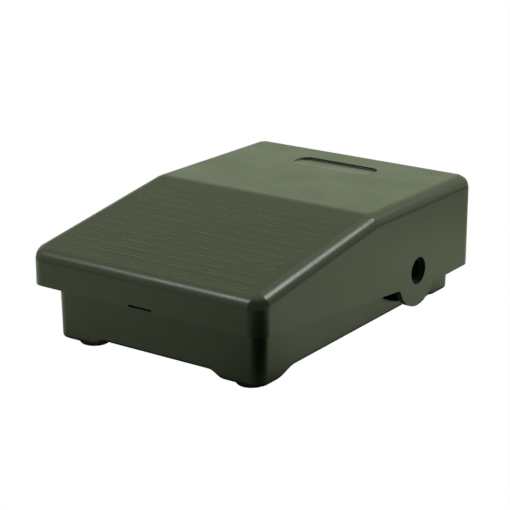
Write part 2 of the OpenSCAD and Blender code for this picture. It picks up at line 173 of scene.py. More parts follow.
def smooth(obj, angle=32):
    """Smooth shading, with edges sharper than the angle kept crisp and flat faces kept flat."""
    bm = bmesh.new()
    bm.from_mesh(obj.data)
    bmesh.ops.remove_doubles(bm, verts=bm.verts, dist=1e-6)
    limit = math.radians(angle)
    for face in bm.faces:
        face.smooth = True
    for edge in bm.edges:
        edge.smooth = len(edge.link_faces) == 2 and edge.calc_face_angle(0) < limit
    bm.to_mesh(obj.data)
    bm.free()
    mod = obj.modifiers.new("even_normals", "WEIGHTED_NORMAL")
    mod.keep_sharp = True
    mod.weight = 80
    return bake(obj)


def block(lo, hi):
    """A box between two corners."""
    bm = bmesh.new()
    bmesh.ops.create_cube(bm, size=1)
    size = Vector(hi) - Vector(lo)
    middle = (Vector(hi) + Vector(lo)) / 2
    bmesh.ops.transform(bm, verts=bm.verts, matrix=Matrix.Translation(middle) @ Matrix.Diagonal((*size, 1)))
    return new_object("block", bm)


def lathe(profile, at=(0, 0, 0), axis="Z", steps=64):
    """Turns a closed (radius, height) outline about an axis. Points at radius 0 close the ends."""
    bm = bmesh.new()
    rings = []
    for radius, height in profile:
        if radius < 1e-9:
            rings.append([bm.verts.new((0, 0, height))])
        else:
            turn = [math.tau * i / steps for i in range(steps)]
            rings.append([bm.verts.new((radius * math.cos(a), radius * math.sin(a), height)) for a in turn])
    closed = profile[0][0] > 1e-9
    for k in range(len(rings) if closed else len(rings) - 1):
        ring_a, ring_b = rings[k], rings[(k + 1) % len(rings)]
        for i in range(steps):
            j = (i + 1) % steps
            corners = [ring_a[i % len(ring_a)], ring_a[j % len(ring_a)]]
            corners += [ring_b[j % len(ring_b)], ring_b[i % len(ring_b)]]
            unique = list(dict.fromkeys(corners))
            if len(unique) > 2:
                bm.faces.new(unique)
    turned = {"X": Matrix.Rotation(math.radians(90), 4, "Y"), "Z": Matrix.Identity(4)}[axis]
    bmesh.ops.transform(bm, verts=bm.verts, matrix=Matrix.Translation(Vector(at)) @ turned)
    return new_object("turned", bm)


def rod(radius, at, length, axis="Z", steps=48):
    """A plain cylinder that starts at a point and runs along the axis."""
    return lathe([(0, 0), (radius, 0), (radius, length), (0, length)], at, axis, steps)


def slab(outline, lo, hi, axis="Z"):
    """A flat outline thickened along an axis: (x, y) along Z, or (y, z) along X."""
    bm = bmesh.new()
    place = (lambda p, h: (p[0], p[1], h)) if axis == "Z" else (lambda p, h: (h, p[0], p[1]))
    low = [bm.verts.new(place(p, lo)) for p in outline]
    high = [bm.verts.new(place(p, hi)) for p in outline]
    bm.faces.new(low)
    bm.faces.new(high)
    for i in range(len(outline)):
        j = (i + 1) % len(outline)
        bm.faces.new([low[i], low[j], high[j], high[i]])
    return new_object("slab", bm)


def skin(bm, rings, endless=False):
    """Faces between neighbouring rings of vertices, with flat ends unless the rings run round."""
    following = rings[1:] + rings[:1] if endless else rings[1:]
    for low, high in zip(rings, following):
        for i in range(len(low)):
            j = (i + 1) % len(low)
            bm.faces.new([low[i], low[j], high[j], high[i]])
    if not endless:
        bm.faces.new(rings[0])
        bm.faces.new(rings[-1])


def arc(centre, radius, start, end, steps):
    """Points of a flat arc, its angles in degrees."""
    turns = [math.radians(start + (end - start) * i / steps) for i in range(steps + 1)]
    return [(centre[0] + radius * math.cos(a), centre[1] + radius * math.sin(a)) for a in turns]


# ---------------------------------------------------------------- geometry node trees

def new_tree(name, inputs):
    """A geometry node tree with a geometry input and output and the named inputs."""
    tree = bpy.data.node_groups.new(name, "GeometryNodeTree")
    tree.interface.new_socket("Geometry", in_out="INPUT", socket_type="NodeSocketGeometry")
    for label, kind in inputs:
        tree.interface.new_socket(label, in_out="INPUT", socket_type="NodeSocket" + kind)
    tree.interface.new_socket("Geometry", in_out="OUTPUT", socket_type="NodeSocketGeometry")
    return tree, tree.nodes.new("NodeGroupInput"), tree.nodes.new("NodeGroupOutput")


def end_tree(tree, source, given, out):
    """Ends a tree in Realize Instances and Set Material."""
    realize = tree.nodes.new("GeometryNodeRealizeInstances")
    paint = tree.nodes.new("GeometryNodeSetMaterial")
    tree.links.new(source, realize.inputs["Geometry"])
    tree.links.new(realize.outputs[0], paint.inputs["Geometry"])
    tree.links.new(given.outputs["Material"], paint.inputs["Material"])
    tree.links.new(paint.outputs[0], out.inputs[0])


def row_tree():
    """Repeats the piece along a line."""
    inputs = [("Count", "Int"), ("Step", "Vector"), ("Material", "Material")]
    tree, given, out = new_tree("row_of_pieces", inputs)
    line = tree.nodes.new("GeometryNodeMeshLine")
    place = tree.nodes.new("GeometryNodeInstanceOnPoints")
    tree.links.new(given.outputs["Count"], line.inputs["Count"])
    tree.links.new(given.outputs["Step"], line.inputs["Offset"])
    tree.links.new(line.outputs[0], place.inputs["Points"])
    tree.links.new(given.outputs["Geometry"], place.inputs["Instance"])
    end_tree(tree, place.outputs[0], given, out)
    return tree


def corners_tree():
    """Repeats the piece at the four corners of a rectangle."""
    inputs = [("Width", "Float"), ("Length", "Float"), ("Material", "Material")]
    tree, given, out = new_tree("four_corners", inputs)
    grid = tree.nodes.new("GeometryNodeMeshGrid")
    place = tree.nodes.new("GeometryNodeInstanceOnPoints")
    grid.inputs["Vertices X"].default_value = 2
    grid.inputs["Vertices Y"].default_value = 2
    tree.links.new(given.outputs["Width"], grid.inputs["Size X"])
    tree.links.new(given.outputs["Length"], grid.inputs["Size Y"])
    tree.links.new(grid.outputs["Mesh"], place.inputs["Points"])
    tree.links.new(given.outputs["Geometry"], place.inputs["Instance"])
    end_tree(tree, place.outputs[0], given, out)
    return tree


def coil_tree():
    """Winds a round wire into a helix from z = 0 up, with its ends closed."""
    sizes = [("Radius", "Float"), ("Wire", "Float"), ("Turns", "Float"), ("Height", "Float")]
    tree, given, out = new_tree("wire_coil", sizes + [("Material", "Material")])
    spiral = tree.nodes.new("GeometryNodeCurveSpiral")
    ring = tree.nodes.new("GeometryNodeCurvePrimitiveCircle")
    sweep = tree.nodes.new("GeometryNodeCurveToMesh")
    spiral.inputs["Resolution"].default_value = 40
    ring.inputs["Resolution"].default_value = 12
    sweep.inputs["Fill Caps"].default_value = True
    tree.links.new(given.outputs["Radius"], spiral.inputs["Start Radius"])
    tree.links.new(given.outputs["Radius"], spiral.inputs["End Radius"])
    tree.links.new(given.outputs["Turns"], spiral.inputs["Rotations"])
    tree.links.new(given.outputs["Height"], spiral.inputs["Height"])
    tree.links.new(given.outputs["Wire"], ring.inputs["Radius"])
    tree.links.new(spiral.outputs[0], sweep.inputs["Curve"])
    tree.links.new(ring.outputs[0], sweep.inputs["Profile Curve"])
    end_tree(tree, sweep.outputs[0], given, out)
    return tree


def ring_tree():
    """Repeats the piece round the Z axis, turned to face outwards."""
    inputs = [("Count", "Int"), ("Radius", "Float"), ("Material", "Material")]
    tree, given, out = new_tree("pieces_round_a_ring", inputs)
    ring = tree.nodes.new("GeometryNodeCurvePrimitiveCircle")
    place = tree.nodes.new("GeometryNodeInstanceOnPoints")
    index = tree.nodes.new("GeometryNodeInputIndex")
    divide = tree.nodes.new("ShaderNodeMath")
    divide.operation = "DIVIDE"
    full_turn = tree.nodes.new("ShaderNodeMath")
    full_turn.operation = "MULTIPLY"
    full_turn.inputs[1].default_value = math.tau
    about_z = tree.nodes.new("ShaderNodeCombineXYZ")
    tree.links.new(given.outputs["Count"], ring.inputs["Resolution"])
    tree.links.new(given.outputs["Radius"], ring.inputs["Radius"])
    tree.links.new(index.outputs[0], divide.inputs[0])
    tree.links.new(given.outputs["Count"], divide.inputs[1])
    tree.links.new(divide.outputs[0], full_turn.inputs[0])
    tree.links.new(full_turn.outputs[0], about_z.inputs["Z"])
    tree.links.new(ring.outputs[0], place.inputs["Points"])
    tree.links.new(given.outputs["Geometry"], place.inputs["Instance"])
    tree.links.new(about_z.outputs[0], place.inputs["Rotation"])
    end_tree(tree, place.outputs[0], given, out)
    return tree


def grow(obj, tree, **values):
    """Runs a tree on the object with values for its named inputs, and applies it."""
    mod = obj.modifiers.new(tree.name, "NODES")
    mod.node_group = tree
    sockets = {s.name: s.identifier for s in tree.interface.items_tree if s.in_out == "INPUT"}
    for label, value in values.items():
        mod[sockets[label.replace("_", " ")]] = value
    return bake(obj)


def move(obj, offset):
    """Moves the piece's mesh, leaving the object at the origin."""
    obj.data.transform(Matrix.Translation(Vector(offset)))
    return obj


# ---------------------------------------------------------------- shader node groups

def new_group(name, inputs, outputs):
    """A shader node group with named sockets."""
    group = bpy.data.node_groups.new(name, "ShaderNodeTree")
    for label, kind in inputs:
        group.interface.new_socket(label, in_out="INPUT", socket_type="NodeSocket" + kind)
    for label, kind in outputs:
        group.interface.new_socket(label, in_out="OUTPUT", socket_type="NodeSocket" + kind)
    return group, group.nodes.new("NodeGroupInput"), group.nodes.new("NodeGroupOutput")


def add(tree, kind, links=(), **settings):
    """Adds a node, sets its properties or its input values, and links sockets to its inputs."""
    node = tree.nodes.new(kind)
    for key, value in settings.items():
        if hasattr(node, key):
            setattr(node, key, value)
        else:
            node.inputs[key.replace("_", " ")].default_value = value
    for socket, label in links:
        tree.links.new(socket, node.inputs[label])
    return node


def math_node(tree, operation, a, b):
    """A math node on two sockets or numbers."""
    node = tree.nodes.new("ShaderNodeMath")
    node.operation = operation
    for slot, value in enumerate((a, b)):
        if isinstance(value, (int, float)):
            node.inputs[slot].default_value = value
        else:
            tree.links.new(value, node.inputs[slot])
    return node.outputs[0]


def moulded_grain_group():
    """Fine spark-eroded grain of a moulding, with soft mottling of its tone and gloss."""
    inputs = [("Vector", "Vector"), ("Tone", "Color"), ("Tone Shift", "Color"), ("Grain Size", "Float")]
    inputs += [("Mottle", "Float"), ("Gloss Base", "Float"), ("Gloss Shift", "Float")]
    outputs = [("Color", "Color"), ("Roughness", "Float"), ("Height", "Float")]
    group, given, out = new_group("moulded_grain", inputs, outputs)
    per_metre = math_node(group, "DIVIDE", 1.0, given.outputs["Grain Size"])
    vector = given.outputs["Vector"]
    scaled = [(vector, "Vector"), (per_metre, "Scale")]
    fine = add(group, "ShaderNodeTexNoise", scaled, Detail=3.0, Roughness=0.65)
    cloud = add(group, "ShaderNodeTexNoise", [(vector, "Vector")], Scale=55.0, Detail=4.0, Roughness=0.55)
    pits = add(group, "ShaderNodeTexVoronoi", scaled)
    blend = add(group, "ShaderNodeMapRange", [(cloud.outputs[0], "Value")], From_Min=0.3, From_Max=0.7)
    amount = math_node(group, "MULTIPLY", blend.outputs[0], given.outputs["Mottle"])
    tone = add(group, "ShaderNodeMix", data_type="RGBA")
    group.links.new(amount, tone.inputs[0])
    group.links.new(given.outputs["Tone"], tone.inputs[6])
    group.links.new(given.outputs["Tone Shift"], tone.inputs[7])
    shift = math_node(group, "MULTIPLY", blend.outputs[0], given.outputs["Gloss Shift"])
    gloss = math_node(group, "ADD", given.outputs["Gloss Base"], shift)
    height = math_node(group, "ADD", fine.outputs[0], math_node(group, "MULTIPLY", pits.outputs[0], 0.4))
    group.links.new(tone.outputs[2], out.inputs["Color"])
    group.links.new(gloss, out.inputs["Roughness"])
    group.links.new(height, out.inputs["Height"])
    return group


def settled_dust_group():
    """Sparse pale specks, thicker on faces that look up."""
    inputs = [("Vector", "Vector"), ("Normal", "Vector"), ("Color", "Color"), ("Amount", "Float")]
    group, given, out = new_group("settled_dust", inputs, [("Color", "Color")])
    split = add(group, "ShaderNodeSeparateXYZ", [(given.outputs["Normal"], "Vector")])
    up = add(group, "ShaderNodeMapRange", [(split.outputs["Z"], "Value")],
             From_Min=0.2, From_Max=1.0, To_Min=0.25)
    cells = add(group, "ShaderNodeTexVoronoi", [(given.outputs["Vector"], "Vector")], Scale=210.0)
    speck = add(group, "ShaderNodeMapRange", [(cells.outputs[0], "Value")],
                From_Min=0.05, From_Max=0.09, To_Min=1.0, To_Max=0.0)
    patch = add(group, "ShaderNodeTexNoise", [(given.outputs["Vector"], "Vector")], Scale=30.0, Detail=2.0)
    some = add(group, "ShaderNodeMapRange", [(patch.outputs[0], "Value")], From_Min=0.5, From_Max=0.7)
    mask = math_node(group, "MULTIPLY", speck.outputs[0], some.outputs[0])
    mask = math_node(group, "MULTIPLY", mask, up.outputs[0])
    mask = math_node(group, "MULTIPLY", mask, given.outputs["Amount"])
    dusty = add(group, "ShaderNodeMix", data_type="RGBA")
    group.links.new(mask, dusty.inputs[0])
    group.links.new(given.outputs["Color"], dusty.inputs[6])
    dusty.inputs[7].default_value = (0.16, 0.17, 0.14, 1)
    group.links.new(dusty.outputs[2], out.inputs["Color"])
    return group


def metal_grain_group():
    """Drawn or rolled metal: fine streaks along one direction and faint stains."""
    inputs = [("Vector", "Vector"), ("Tone", "Color"), ("Stain", "Color"), ("Gloss Base", "Float")]
    outputs = [("Color", "Color"), ("Roughness", "Float"), ("Height", "Float")]
    group, given, out = new_group("metal_grain", inputs, outputs)
    long_way = add(group, "ShaderNodeMapping", [(given.outputs["Vector"], "Vector")])
    long_way.inputs["Scale"].default_value = (1, 14, 14)
    streak = add(group, "ShaderNodeTexNoise", [(long_way.outputs[0], "Vector")], Scale=300.0, Detail=3.0)
    stain = add(group, "ShaderNodeTexNoise", [(given.outputs["Vector"], "Vector")], Scale=180.0, Detail=3.0)
    some = add(group, "ShaderNodeMapRange", [(stain.outputs[0], "Value")], From_Min=0.5, From_Max=0.75)
    tone = add(group, "ShaderNodeMix", data_type="RGBA")
    group.links.new(some.outputs[0], tone.inputs[0])
    group.links.new(given.outputs["Tone"], tone.inputs[6])
    group.links.new(given.outputs["Stain"], tone.inputs[7])
    dulling = math_node(group, "MULTIPLY", streak.outputs[0], 0.2)
    gloss = math_node(group, "ADD", given.outputs["Gloss Base"], dulling)
    group.links.new(tone.outputs[2], out.inputs["Color"])
    group.links.new(gloss, out.inputs["Roughness"])
    group.links.new(streak.outputs[0], out.inputs["Height"])
    return group


GRAIN = moulded_grain_group()
DUST = settled_dust_group()
METAL = metal_grain_group()


def new_material(name):
    """An empty material with its shader."""
    mat = bpy.data.materials.new(name)
    mat.use_nodes = True
    return mat, mat.node_tree, mat.node_tree.nodes["Principled BSDF"]


def dress(tree, shader, colour, grain_node, depth):
    """Feeds a shader its colour, and the roughness and bumps of its grain to a depth in millimetres."""
    height = [(grain_node.outputs["Height"], "Height")]
    bump = add(tree, "ShaderNodeBump", height, Strength=1.0, Distance=depth * MM)
    tree.links.new(colour, shader.inputs["Base Color"])
    tree.links.new(grain_node.outputs["Roughness"], shader.inputs["Roughness"])
    tree.links.new(bump.outputs[0], shader.inputs["Normal"])


def moulded(name, tone, shift, grain=0.35 * MM, gloss=0.36, depth=0.03, dust=0.0, specular=0.5):
    """A moulded plastic or rubber."""
    mat, tree, shader = new_material(name)
    where = add(tree, "ShaderNodeTexCoord")
    grain_node = add(tree, "ShaderNodeGroup", node_tree=GRAIN)
    tree.links.new(where.outputs["Object"], grain_node.inputs["Vector"])
    grain_node.inputs["Tone"].default_value = (*tone, 1)
    grain_node.inputs["Tone Shift"].default_value = (*shift, 1)
    grain_node.inputs["Grain Size"].default_value = grain
    grain_node.inputs["Mottle"].default_value = 0.6
    grain_node.inputs["Gloss Base"].default_value = gloss
    grain_node.inputs["Gloss Shift"].default_value = 0.08
    colour = grain_node.outputs["Color"]
    if dust:
        facing = add(tree, "ShaderNodeNewGeometry")
        dust_node = add(tree, "ShaderNodeGroup", node_tree=DUST)
        tree.links.new(where.outputs["Object"], dust_node.inputs["Vector"])
        tree.links.new(facing.outputs["Normal"], dust_node.inputs["Normal"])
        tree.links.new(colour, dust_node.inputs["Color"])
        dust_node.inputs["Amount"].default_value = dust
        colour = dust_node.outputs["Color"]
    dress(tree, shader, colour, grain_node, depth)
    shader.inputs["Specular IOR Level"].default_value = specular
    return mat


def metal(name, tone, stain, gloss=0.3):
    """A bare or plated metal."""
    mat, tree, shader = new_material(name)
    where = add(tree, "ShaderNodeTexCoord")
    grain_node = add(tree, "ShaderNodeGroup", node_tree=METAL)
    tree.links.new(where.outputs["Object"], grain_node.inputs["Vector"])
    grain_node.inputs["Tone"].default_value = (*tone, 1)
    grain_node.inputs["Stain"].default_value = (*stain, 1)
    grain_node.inputs["Gloss Base"].default_value = gloss
    dress(tree, shader, grain_node.outputs["Color"], grain_node, 0.01)
    shader.inputs["Metallic"].default_value = 1.0
    return mat


def fuse_glass_material():
    """Clear glass tube with a faint smear on its surface."""
    mat, tree, shader = new_material("fuse_glass")
    where = add(tree, "ShaderNodeTexCoord")
    smear = add(tree, "ShaderNodeTexNoise", [(where.outputs["Object"], "Vector")], Scale=300.0)
    gloss = add(tree, "ShaderNodeMapRange", [(smear.outputs[0], "Value")], To_Min=0.02, To_Max=0.12)
    tone = add(tree, "ShaderNodeMix", data_type="RGBA")
    tree.links.new(smear.outputs[0], tone.inputs[0])
    tone.inputs[6].default_value = (0.9, 0.95, 0.94, 1)
    tone.inputs[7].default_value = (0.8, 0.88, 0.86, 1)
    tree.links.new(tone.outputs[2], shader.inputs["Base Color"])
    tree.links.new(gloss.outputs[0], shader.inputs["Roughness"])
    shader.inputs["Transmission Weight"].default_value = 0.85
    return mat


# Each plastic: its tone, the tone that it drifts to, and what differs from the usual.
PLASTICS = {
    "cover_plastic": ((0.0085, 0.0125, 0.007), (0.011, 0.0155, 0.009),
                      dict(gloss=0.24, dust=0.2, depth=0.015)),
    "tray_plastic": ((0.008, 0.0115, 0.0065), (0.010, 0.0145, 0.008), dict(gloss=0.24, depth=0.015)),
    "foot_rubber": ((0.006, 0.006, 0.006), (0.012, 0.012, 0.011), dict(gloss=0.62, depth=0.05)),
    "bush_plastic": ((0.002, 0.002, 0.002), (0.004, 0.004, 0.004), dict(gloss=0.5, specular=0.25)),
    "guard_plastic": ((0.45, 0.45, 0.38), (0.52, 0.51, 0.43), dict(gloss=0.4)),
    "board_laminate": ((0.27, 0.15, 0.05), (0.34, 0.2, 0.08), dict(gloss=0.45, grain=0.8 * MM)),
    "control_plastic": ((0.02, 0.05, 0.15), (0.03, 0.07, 0.2), dict(gloss=0.35)),
    "plunger_plastic": ((0.62, 0.61, 0.55), (0.7, 0.69, 0.62), dict(gloss=0.3)),
    "button_plastic": ((0.4, 0.02, 0.015), (0.5, 0.04, 0.02), dict(gloss=0.2, depth=0.01)),
    "ferrite": ((0.035, 0.035, 0.04), (0.06, 0.06, 0.065), dict(gloss=0.55, depth=0.06)),
    "capacitor_case": ((0.5, 0.33, 0.03), (0.58, 0.4, 0.05), dict(gloss=0.22, depth=0.01)),
    "resistor_body": ((0.5, 0.37, 0.2), (0.58, 0.44, 0.26), dict(gloss=0.28, depth=0.02)),
    "terminal_plastic": ((0.02, 0.12, 0.05), (0.03, 0.16, 0.07), dict(gloss=0.38)),
}

# Each metal: its tone, its stains, and what differs from the usual.
METALS = {
    "screw_steel": ((0.55, 0.55, 0.56), (0.42, 0.41, 0.39), dict()),
    "spring_steel": ((0.48, 0.48, 0.5), (0.3, 0.29, 0.28), dict(gloss=0.22)),
    "heat_sink_aluminium": ((0.75, 0.76, 0.78), (0.62, 0.63, 0.65), dict(gloss=0.32)),
    "copper_wire": ((0.55, 0.2, 0.07), (0.38, 0.12, 0.04), dict(gloss=0.2)),
    "clip_brass": ((0.7, 0.52, 0.2), (0.5, 0.36, 0.14), dict(gloss=0.24)),
}

MATERIALS = {name: moulded(name, tone, shift, **more) for name, (tone, shift, more) in PLASTICS.items()}
MATERIALS.update({name: metal(name, tone, stain, **more) for name, (tone, stain, more) in METALS.items()})
MATERIALS["fuse_glass"] = fuse_glass_material()


def finish_piece(obj, body, slot, *nodes):
    """Gives a finished piece its material, slot and body, and hides the CAD nodes that it stands for."""
    obj.data.materials.clear()
    obj.data.materials.append(MATERIALS[slot])
    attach(obj, body)
    if nodes:
        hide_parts(*nodes)
    return obj


# ---------------------------------------------------------------- the pedal cover

def skirt_z(y):
    """Height of the skirt's bottom edge at y."""
    if y > skirt_bend_y:
        return skirt_rear_z
    return skirt_front_z + (skirt_rear_z - skirt_front_z) * (y + half_l) / (skirt_bend_y + half_l)


def ear_edge():
    """The side's bottom edge round the ear, from front to rear, with a small fillet at its front."""
    slope = math.atan2(skirt_rear_z - skirt_front_z, skirt_bend_y + half_l)
    up = Vector((-math.sin(slope), math.cos(slope)))
    # The fillet's circle touches the skirt's edge from below and the ear's circle from outside.
    line_point = Vector((0, skirt_z(0))) - up * ear_fillet_r
    along = Vector((math.cos(slope), math.sin(slope)))
    hub = Vector((pivot.y, pivot.z))
    to_hub = hub - line_point
    reach = ear_r + ear_fillet_r
    run = to_hub.dot(along) - math.sqrt(reach ** 2 - (to_hub - along * to_hub.dot(along)).length ** 2)
    centre = line_point + along * run
    meet = math.degrees(math.atan2(*(hub - centre).yx))
    fillet = arc(centre, ear_fillet_r, math.degrees(slope) + 90, meet, 6)
    rear_z = skirt_z(pivot.y + ear_r) - pivot.z
    leave = math.degrees(math.atan2(rear_z, math.sqrt(ear_r ** 2 - rear_z ** 2)))
    return fillet + arc(hub, ear_r, meet + 180, 360 + leave, 40)[1:]


def cover_skin():
    """The cover's outer skin: the side outline swept across the width, open underneath."""
    bottom = [(-half_l, skirt_front_z), *ear_edge(), (skirt_bend_y, skirt_rear_z), (half_l, skirt_rear_z)]
    top = [(half_l, rear_top_z), (0, crease_z), (-half_l, front_top_z)]
    outline = bottom + top
    bm = bmesh.new()
    left = [bm.verts.new((-half_w, y, z)) for y, z in outline]
    right = [bm.verts.new((half_w, y, z)) for y, z in outline]
    bm.faces.new(left)
    bm.faces.new(right)
    first_top = len(bottom) - 1
    for i in range(first_top, len(outline)):
        j = (i + 1) % len(outline)
        bm.faces.new([left[i], left[j], right[j], right[i]])
    weight = bm.edges.layers.float.new("bevel_weight_edge")
    widest = upright_edge_r
    for edge in bm.edges:
        a, b = (v.co for v in edge.verts)
        upright = abs(a.z - b.z) > 5 * MM and abs(a.y - b.y) < MM and abs(a.y) > half_l - MM
        high = min(a.z, b.z) > 35 * MM
        if upright:
            edge[weight] = 1.0
        elif high and abs(a.y) < MM and abs(b.y) < MM:
            edge[weight] = crease_soften / widest
        elif high:
            edge[weight] = side_edge_r / widest
    obj = new_object("pedal_cover_shell", bm)
    mod = obj.modifiers.new("rounded", "BEVEL")
    mod.limit_method = "WEIGHT"
    mod.width = widest
    mod.segments = 12
    mod.profile = 0.5
    mod.use_clamp_overlap = False
    thick = obj.modifiers.new("thick", "SOLIDIFY")
    thick.thickness = wall
    thick.offset = -1
    thick.use_even_offset = True
    return bake(obj)


def groove_cutter():
    """A bar with round ends whose section is a shallow wave, level with the tread at its edges."""
    half = groove_w / 2
    section = [(half + 0.3 * MM, MM), (half + 0.1 * MM, 0.1 * MM)]
    for share in (0.92, 0.8, 0.65, 0.5, 0.35, 0.2):
        section.append((half * share, -groove_d * (1 + math.cos(math.pi * share)) / 2))
    bm = bmesh.new()
    rings = []
    for offset, height in section:
        loop = arc((groove_half - half, 0), offset, -90, 90, 12)
        loop += arc((half - groove_half, 0), offset, 90, 270, 12)
        rings.append([bm.verts.new((x, y, height)) for x, y in loop])
    skin(bm, rings)
    return new_object("groove_cutter", bm)


def tread_grooves(row):
    """All the grooves of the tread, laid along its slope."""
    slope = math.atan2(crease_z - front_top_z, half_l)
    cutter = groove_cutter()
    cutter.data.transform(Matrix.Rotation(slope, 4, "X"))
    step = (0, groove_pitch, groove_pitch * math.tan(slope))
    grow(cutter, row, Count=groove_count, Step=step, Material=MATERIALS["cover_plastic"])
    first_y = -half_l + groove_first
    return move(cutter, (0, first_y, top_z(first_y)))


def finger_recess_cutter():
    """A shallow scoop for a finger near the hinge end: deep at its rear wall, running out forwards."""
    width, length, radius, depth = 39 * MM, 13 * MM, 5 * MM, 0.8 * MM
    rear_y = 62.4 * MM
    soft = 0.25 * MM
    top_tilt = (rear_top_z - crease_z) / half_l
    floor_tilt = top_tilt - depth / length
    bm = bmesh.new()
    rings = []
    rounds = [(soft * (1 - math.cos(a)), soft * (1 - math.sin(a))) for a in (1.57, 1.1, 0.7, 0.35, 0)]
    for inset, lift in [*rounds, (0, 3 * MM)]:
        loop = []
        for sx, sy, start in ((1, 1, 0), (-1, 1, 90), (-1, -1, 180), (1, -1, 270)):
            centre = (sx * (width / 2 - radius), rear_y - length / 2 + sy * (length / 2 - radius))
            loop += arc(centre, radius - inset, start, start + 90, 10)
        base = top_z(rear_y) - depth + lift
        rings.append([bm.verts.new((x, y, base + floor_tilt * (y - rear_y))) for x, y in loop])
    skin(bm, rings)
    return new_object("recess_cutter", bm)


def under_top(x0, x1, y0, y1, z0):
    """A block that hangs from the inside of the cover's top down to z0."""
    bm = bmesh.new()
    bury = 0.8 * MM
    ys = [y for y in (y0, 0, y1) if y0 <= y <= y1]
    upper = [(y, top_z(y) - wall + bury) for y in ys]
    outline = [(y0, z0(y0))] + [(y, z0(y)) for y in ys if y0 < y < y1] + [(y1, z0(y1))]
    outline += list(reversed(upper))
    low = [bm.verts.new((x0, y, z)) for y, z in outline]
    high = [bm.verts.new((x1, y, z)) for y, z in outline]
    bm.faces.new(low)
    bm.faces.new(high)
    for i in range(len(outline)):
        j = (i + 1) % len(outline)
        bm.faces.new([low[i], low[j], high[j], high[i]])
    return new_object("hanging", bm)


def cover_inside():
    """Ribs, spring cups, stops, the plunger post and the ear bosses."""
    stop_rib_z = stop_pad_top + (pivot.y + stop_y) * math.sin(travel)
    solids = [under_top(s * rib_x - rib_half, s * rib_x + rib_half, rib_front_y, rib_rear_y,
                        lambda y: top_z(y) - wall - rib_h) for s in (-1, 1)]
    cup_z = top_z(spring_y) - wall - cup_drop
    cup = [(cup_inner_r, 0), (cup_outer_r, 0), (cup_outer_r, cup_reach), (cup_inner_r, cup_reach)]
    for s in (-1, 1):
        x = s * stop_x
        low, high = x - 4 * MM, x + 4 * MM
        solids.append(under_top(low, high, -63 * MM, -59 * MM, lambda y: stop_rib_z))
        solids.append(under_top(low, high, 58 * MM, 62 * MM, lambda y: rest_rib_z))
        solids.append(lathe(cup, (s * spring_x, spring_y, cup_z)))
        inner = s * (half_w - wall - 2 * MM)
        boss_x = min(inner, inner + s * 2.5 * MM)
        solids.append(rod(ear_boss_r, (boss_x, pivot.y, pivot.z), 2.5 * MM, "X"))
    post_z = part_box("speed_plunger")[1].z + gap
    solids.append(rod(post_r, (0, post_y, post_z), top_z(post_y) - wall + 0.4 * MM - post_z))
    tip_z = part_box("switch_lever")[1].z + gap
    solids.append(under_top(13 * MM, 19 * MM, -17.2 * MM, -14 * MM, lambda y: tip_z))
    return solids


def pedal_cover(row):
    """The pressed cover: rounded shell, ears, grooves, finger recess and the features inside."""
    shell = cover_skin()
    for solid in cover_inside():
        combine(shell, solid, "UNION")
    holes = [rod(ear_hole_r, (s * half_w - 6 * MM, pivot.y, pivot.z), 12 * MM, "X", 96) for s in (-1, 1)]
    slot = block((-slot_half, -half_l - MM, skirt_front_z + slot_lip),
                 (slot_half, slot_depth - half_l, skirt_front_z + slot_top))
    combine(shell, joined("holes", [*holes, slot]), "DIFFERENCE")
    combine(shell, tread_grooves(row), "DIFFERENCE")
    combine(shell, finger_recess_cutter(), "DIFFERENCE")
    smooth(shell)
    return finish_piece(shell, "treadle", "cover_plastic", "pedal_cover")


# ---------------------------------------------------------------- the base tray

def round_rectangle(hw, hl, rear_r, front_r, per_side=58, per_corner=10):
    """Points round a rectangle with round corners, closely spaced along its sides."""
    loop = []
    for sx, sy, start in ((1, 1, 0), (-1, 1, 90), (-1, -1, 180), (1, -1, 270)):
        radius, other = (rear_r, front_r) if sy > 0 else (front_r, rear_r)
        corner = arc((sx * (hw - radius), sy * (hl - radius)), radius, start, start + 90, per_corner)
        loop += corner
        # The side that follows the corner: along X after the first and third, along Y after the others.
        run = (-2 * sx * (hw - radius), 0) if start in (0, 180) else (0, -sy * (2 * hl - radius - other))
        last = corner[-1]
        loop += [(last[0] + run[0] * i / per_side, last[1] + run[1] * i / per_side)
                 for i in range(1, per_side)]
    return loop


def ease(value, start, end):
    """Smooth step from 0 at start to 1 at end."""
    t = min(max((value - start) / (end - start), 0), 1)
    return t * t * (3 - 2 * t)


def underside_z(x, y):
    """Height of the tray's underside, which steps down to a leg at each corner."""
    step = tray_z - leg_z
    return tray_z - step * ease(abs(x), 25 * MM, 31.5 * MM) * ease(abs(y), 47.5 * MM, 59 * MM)


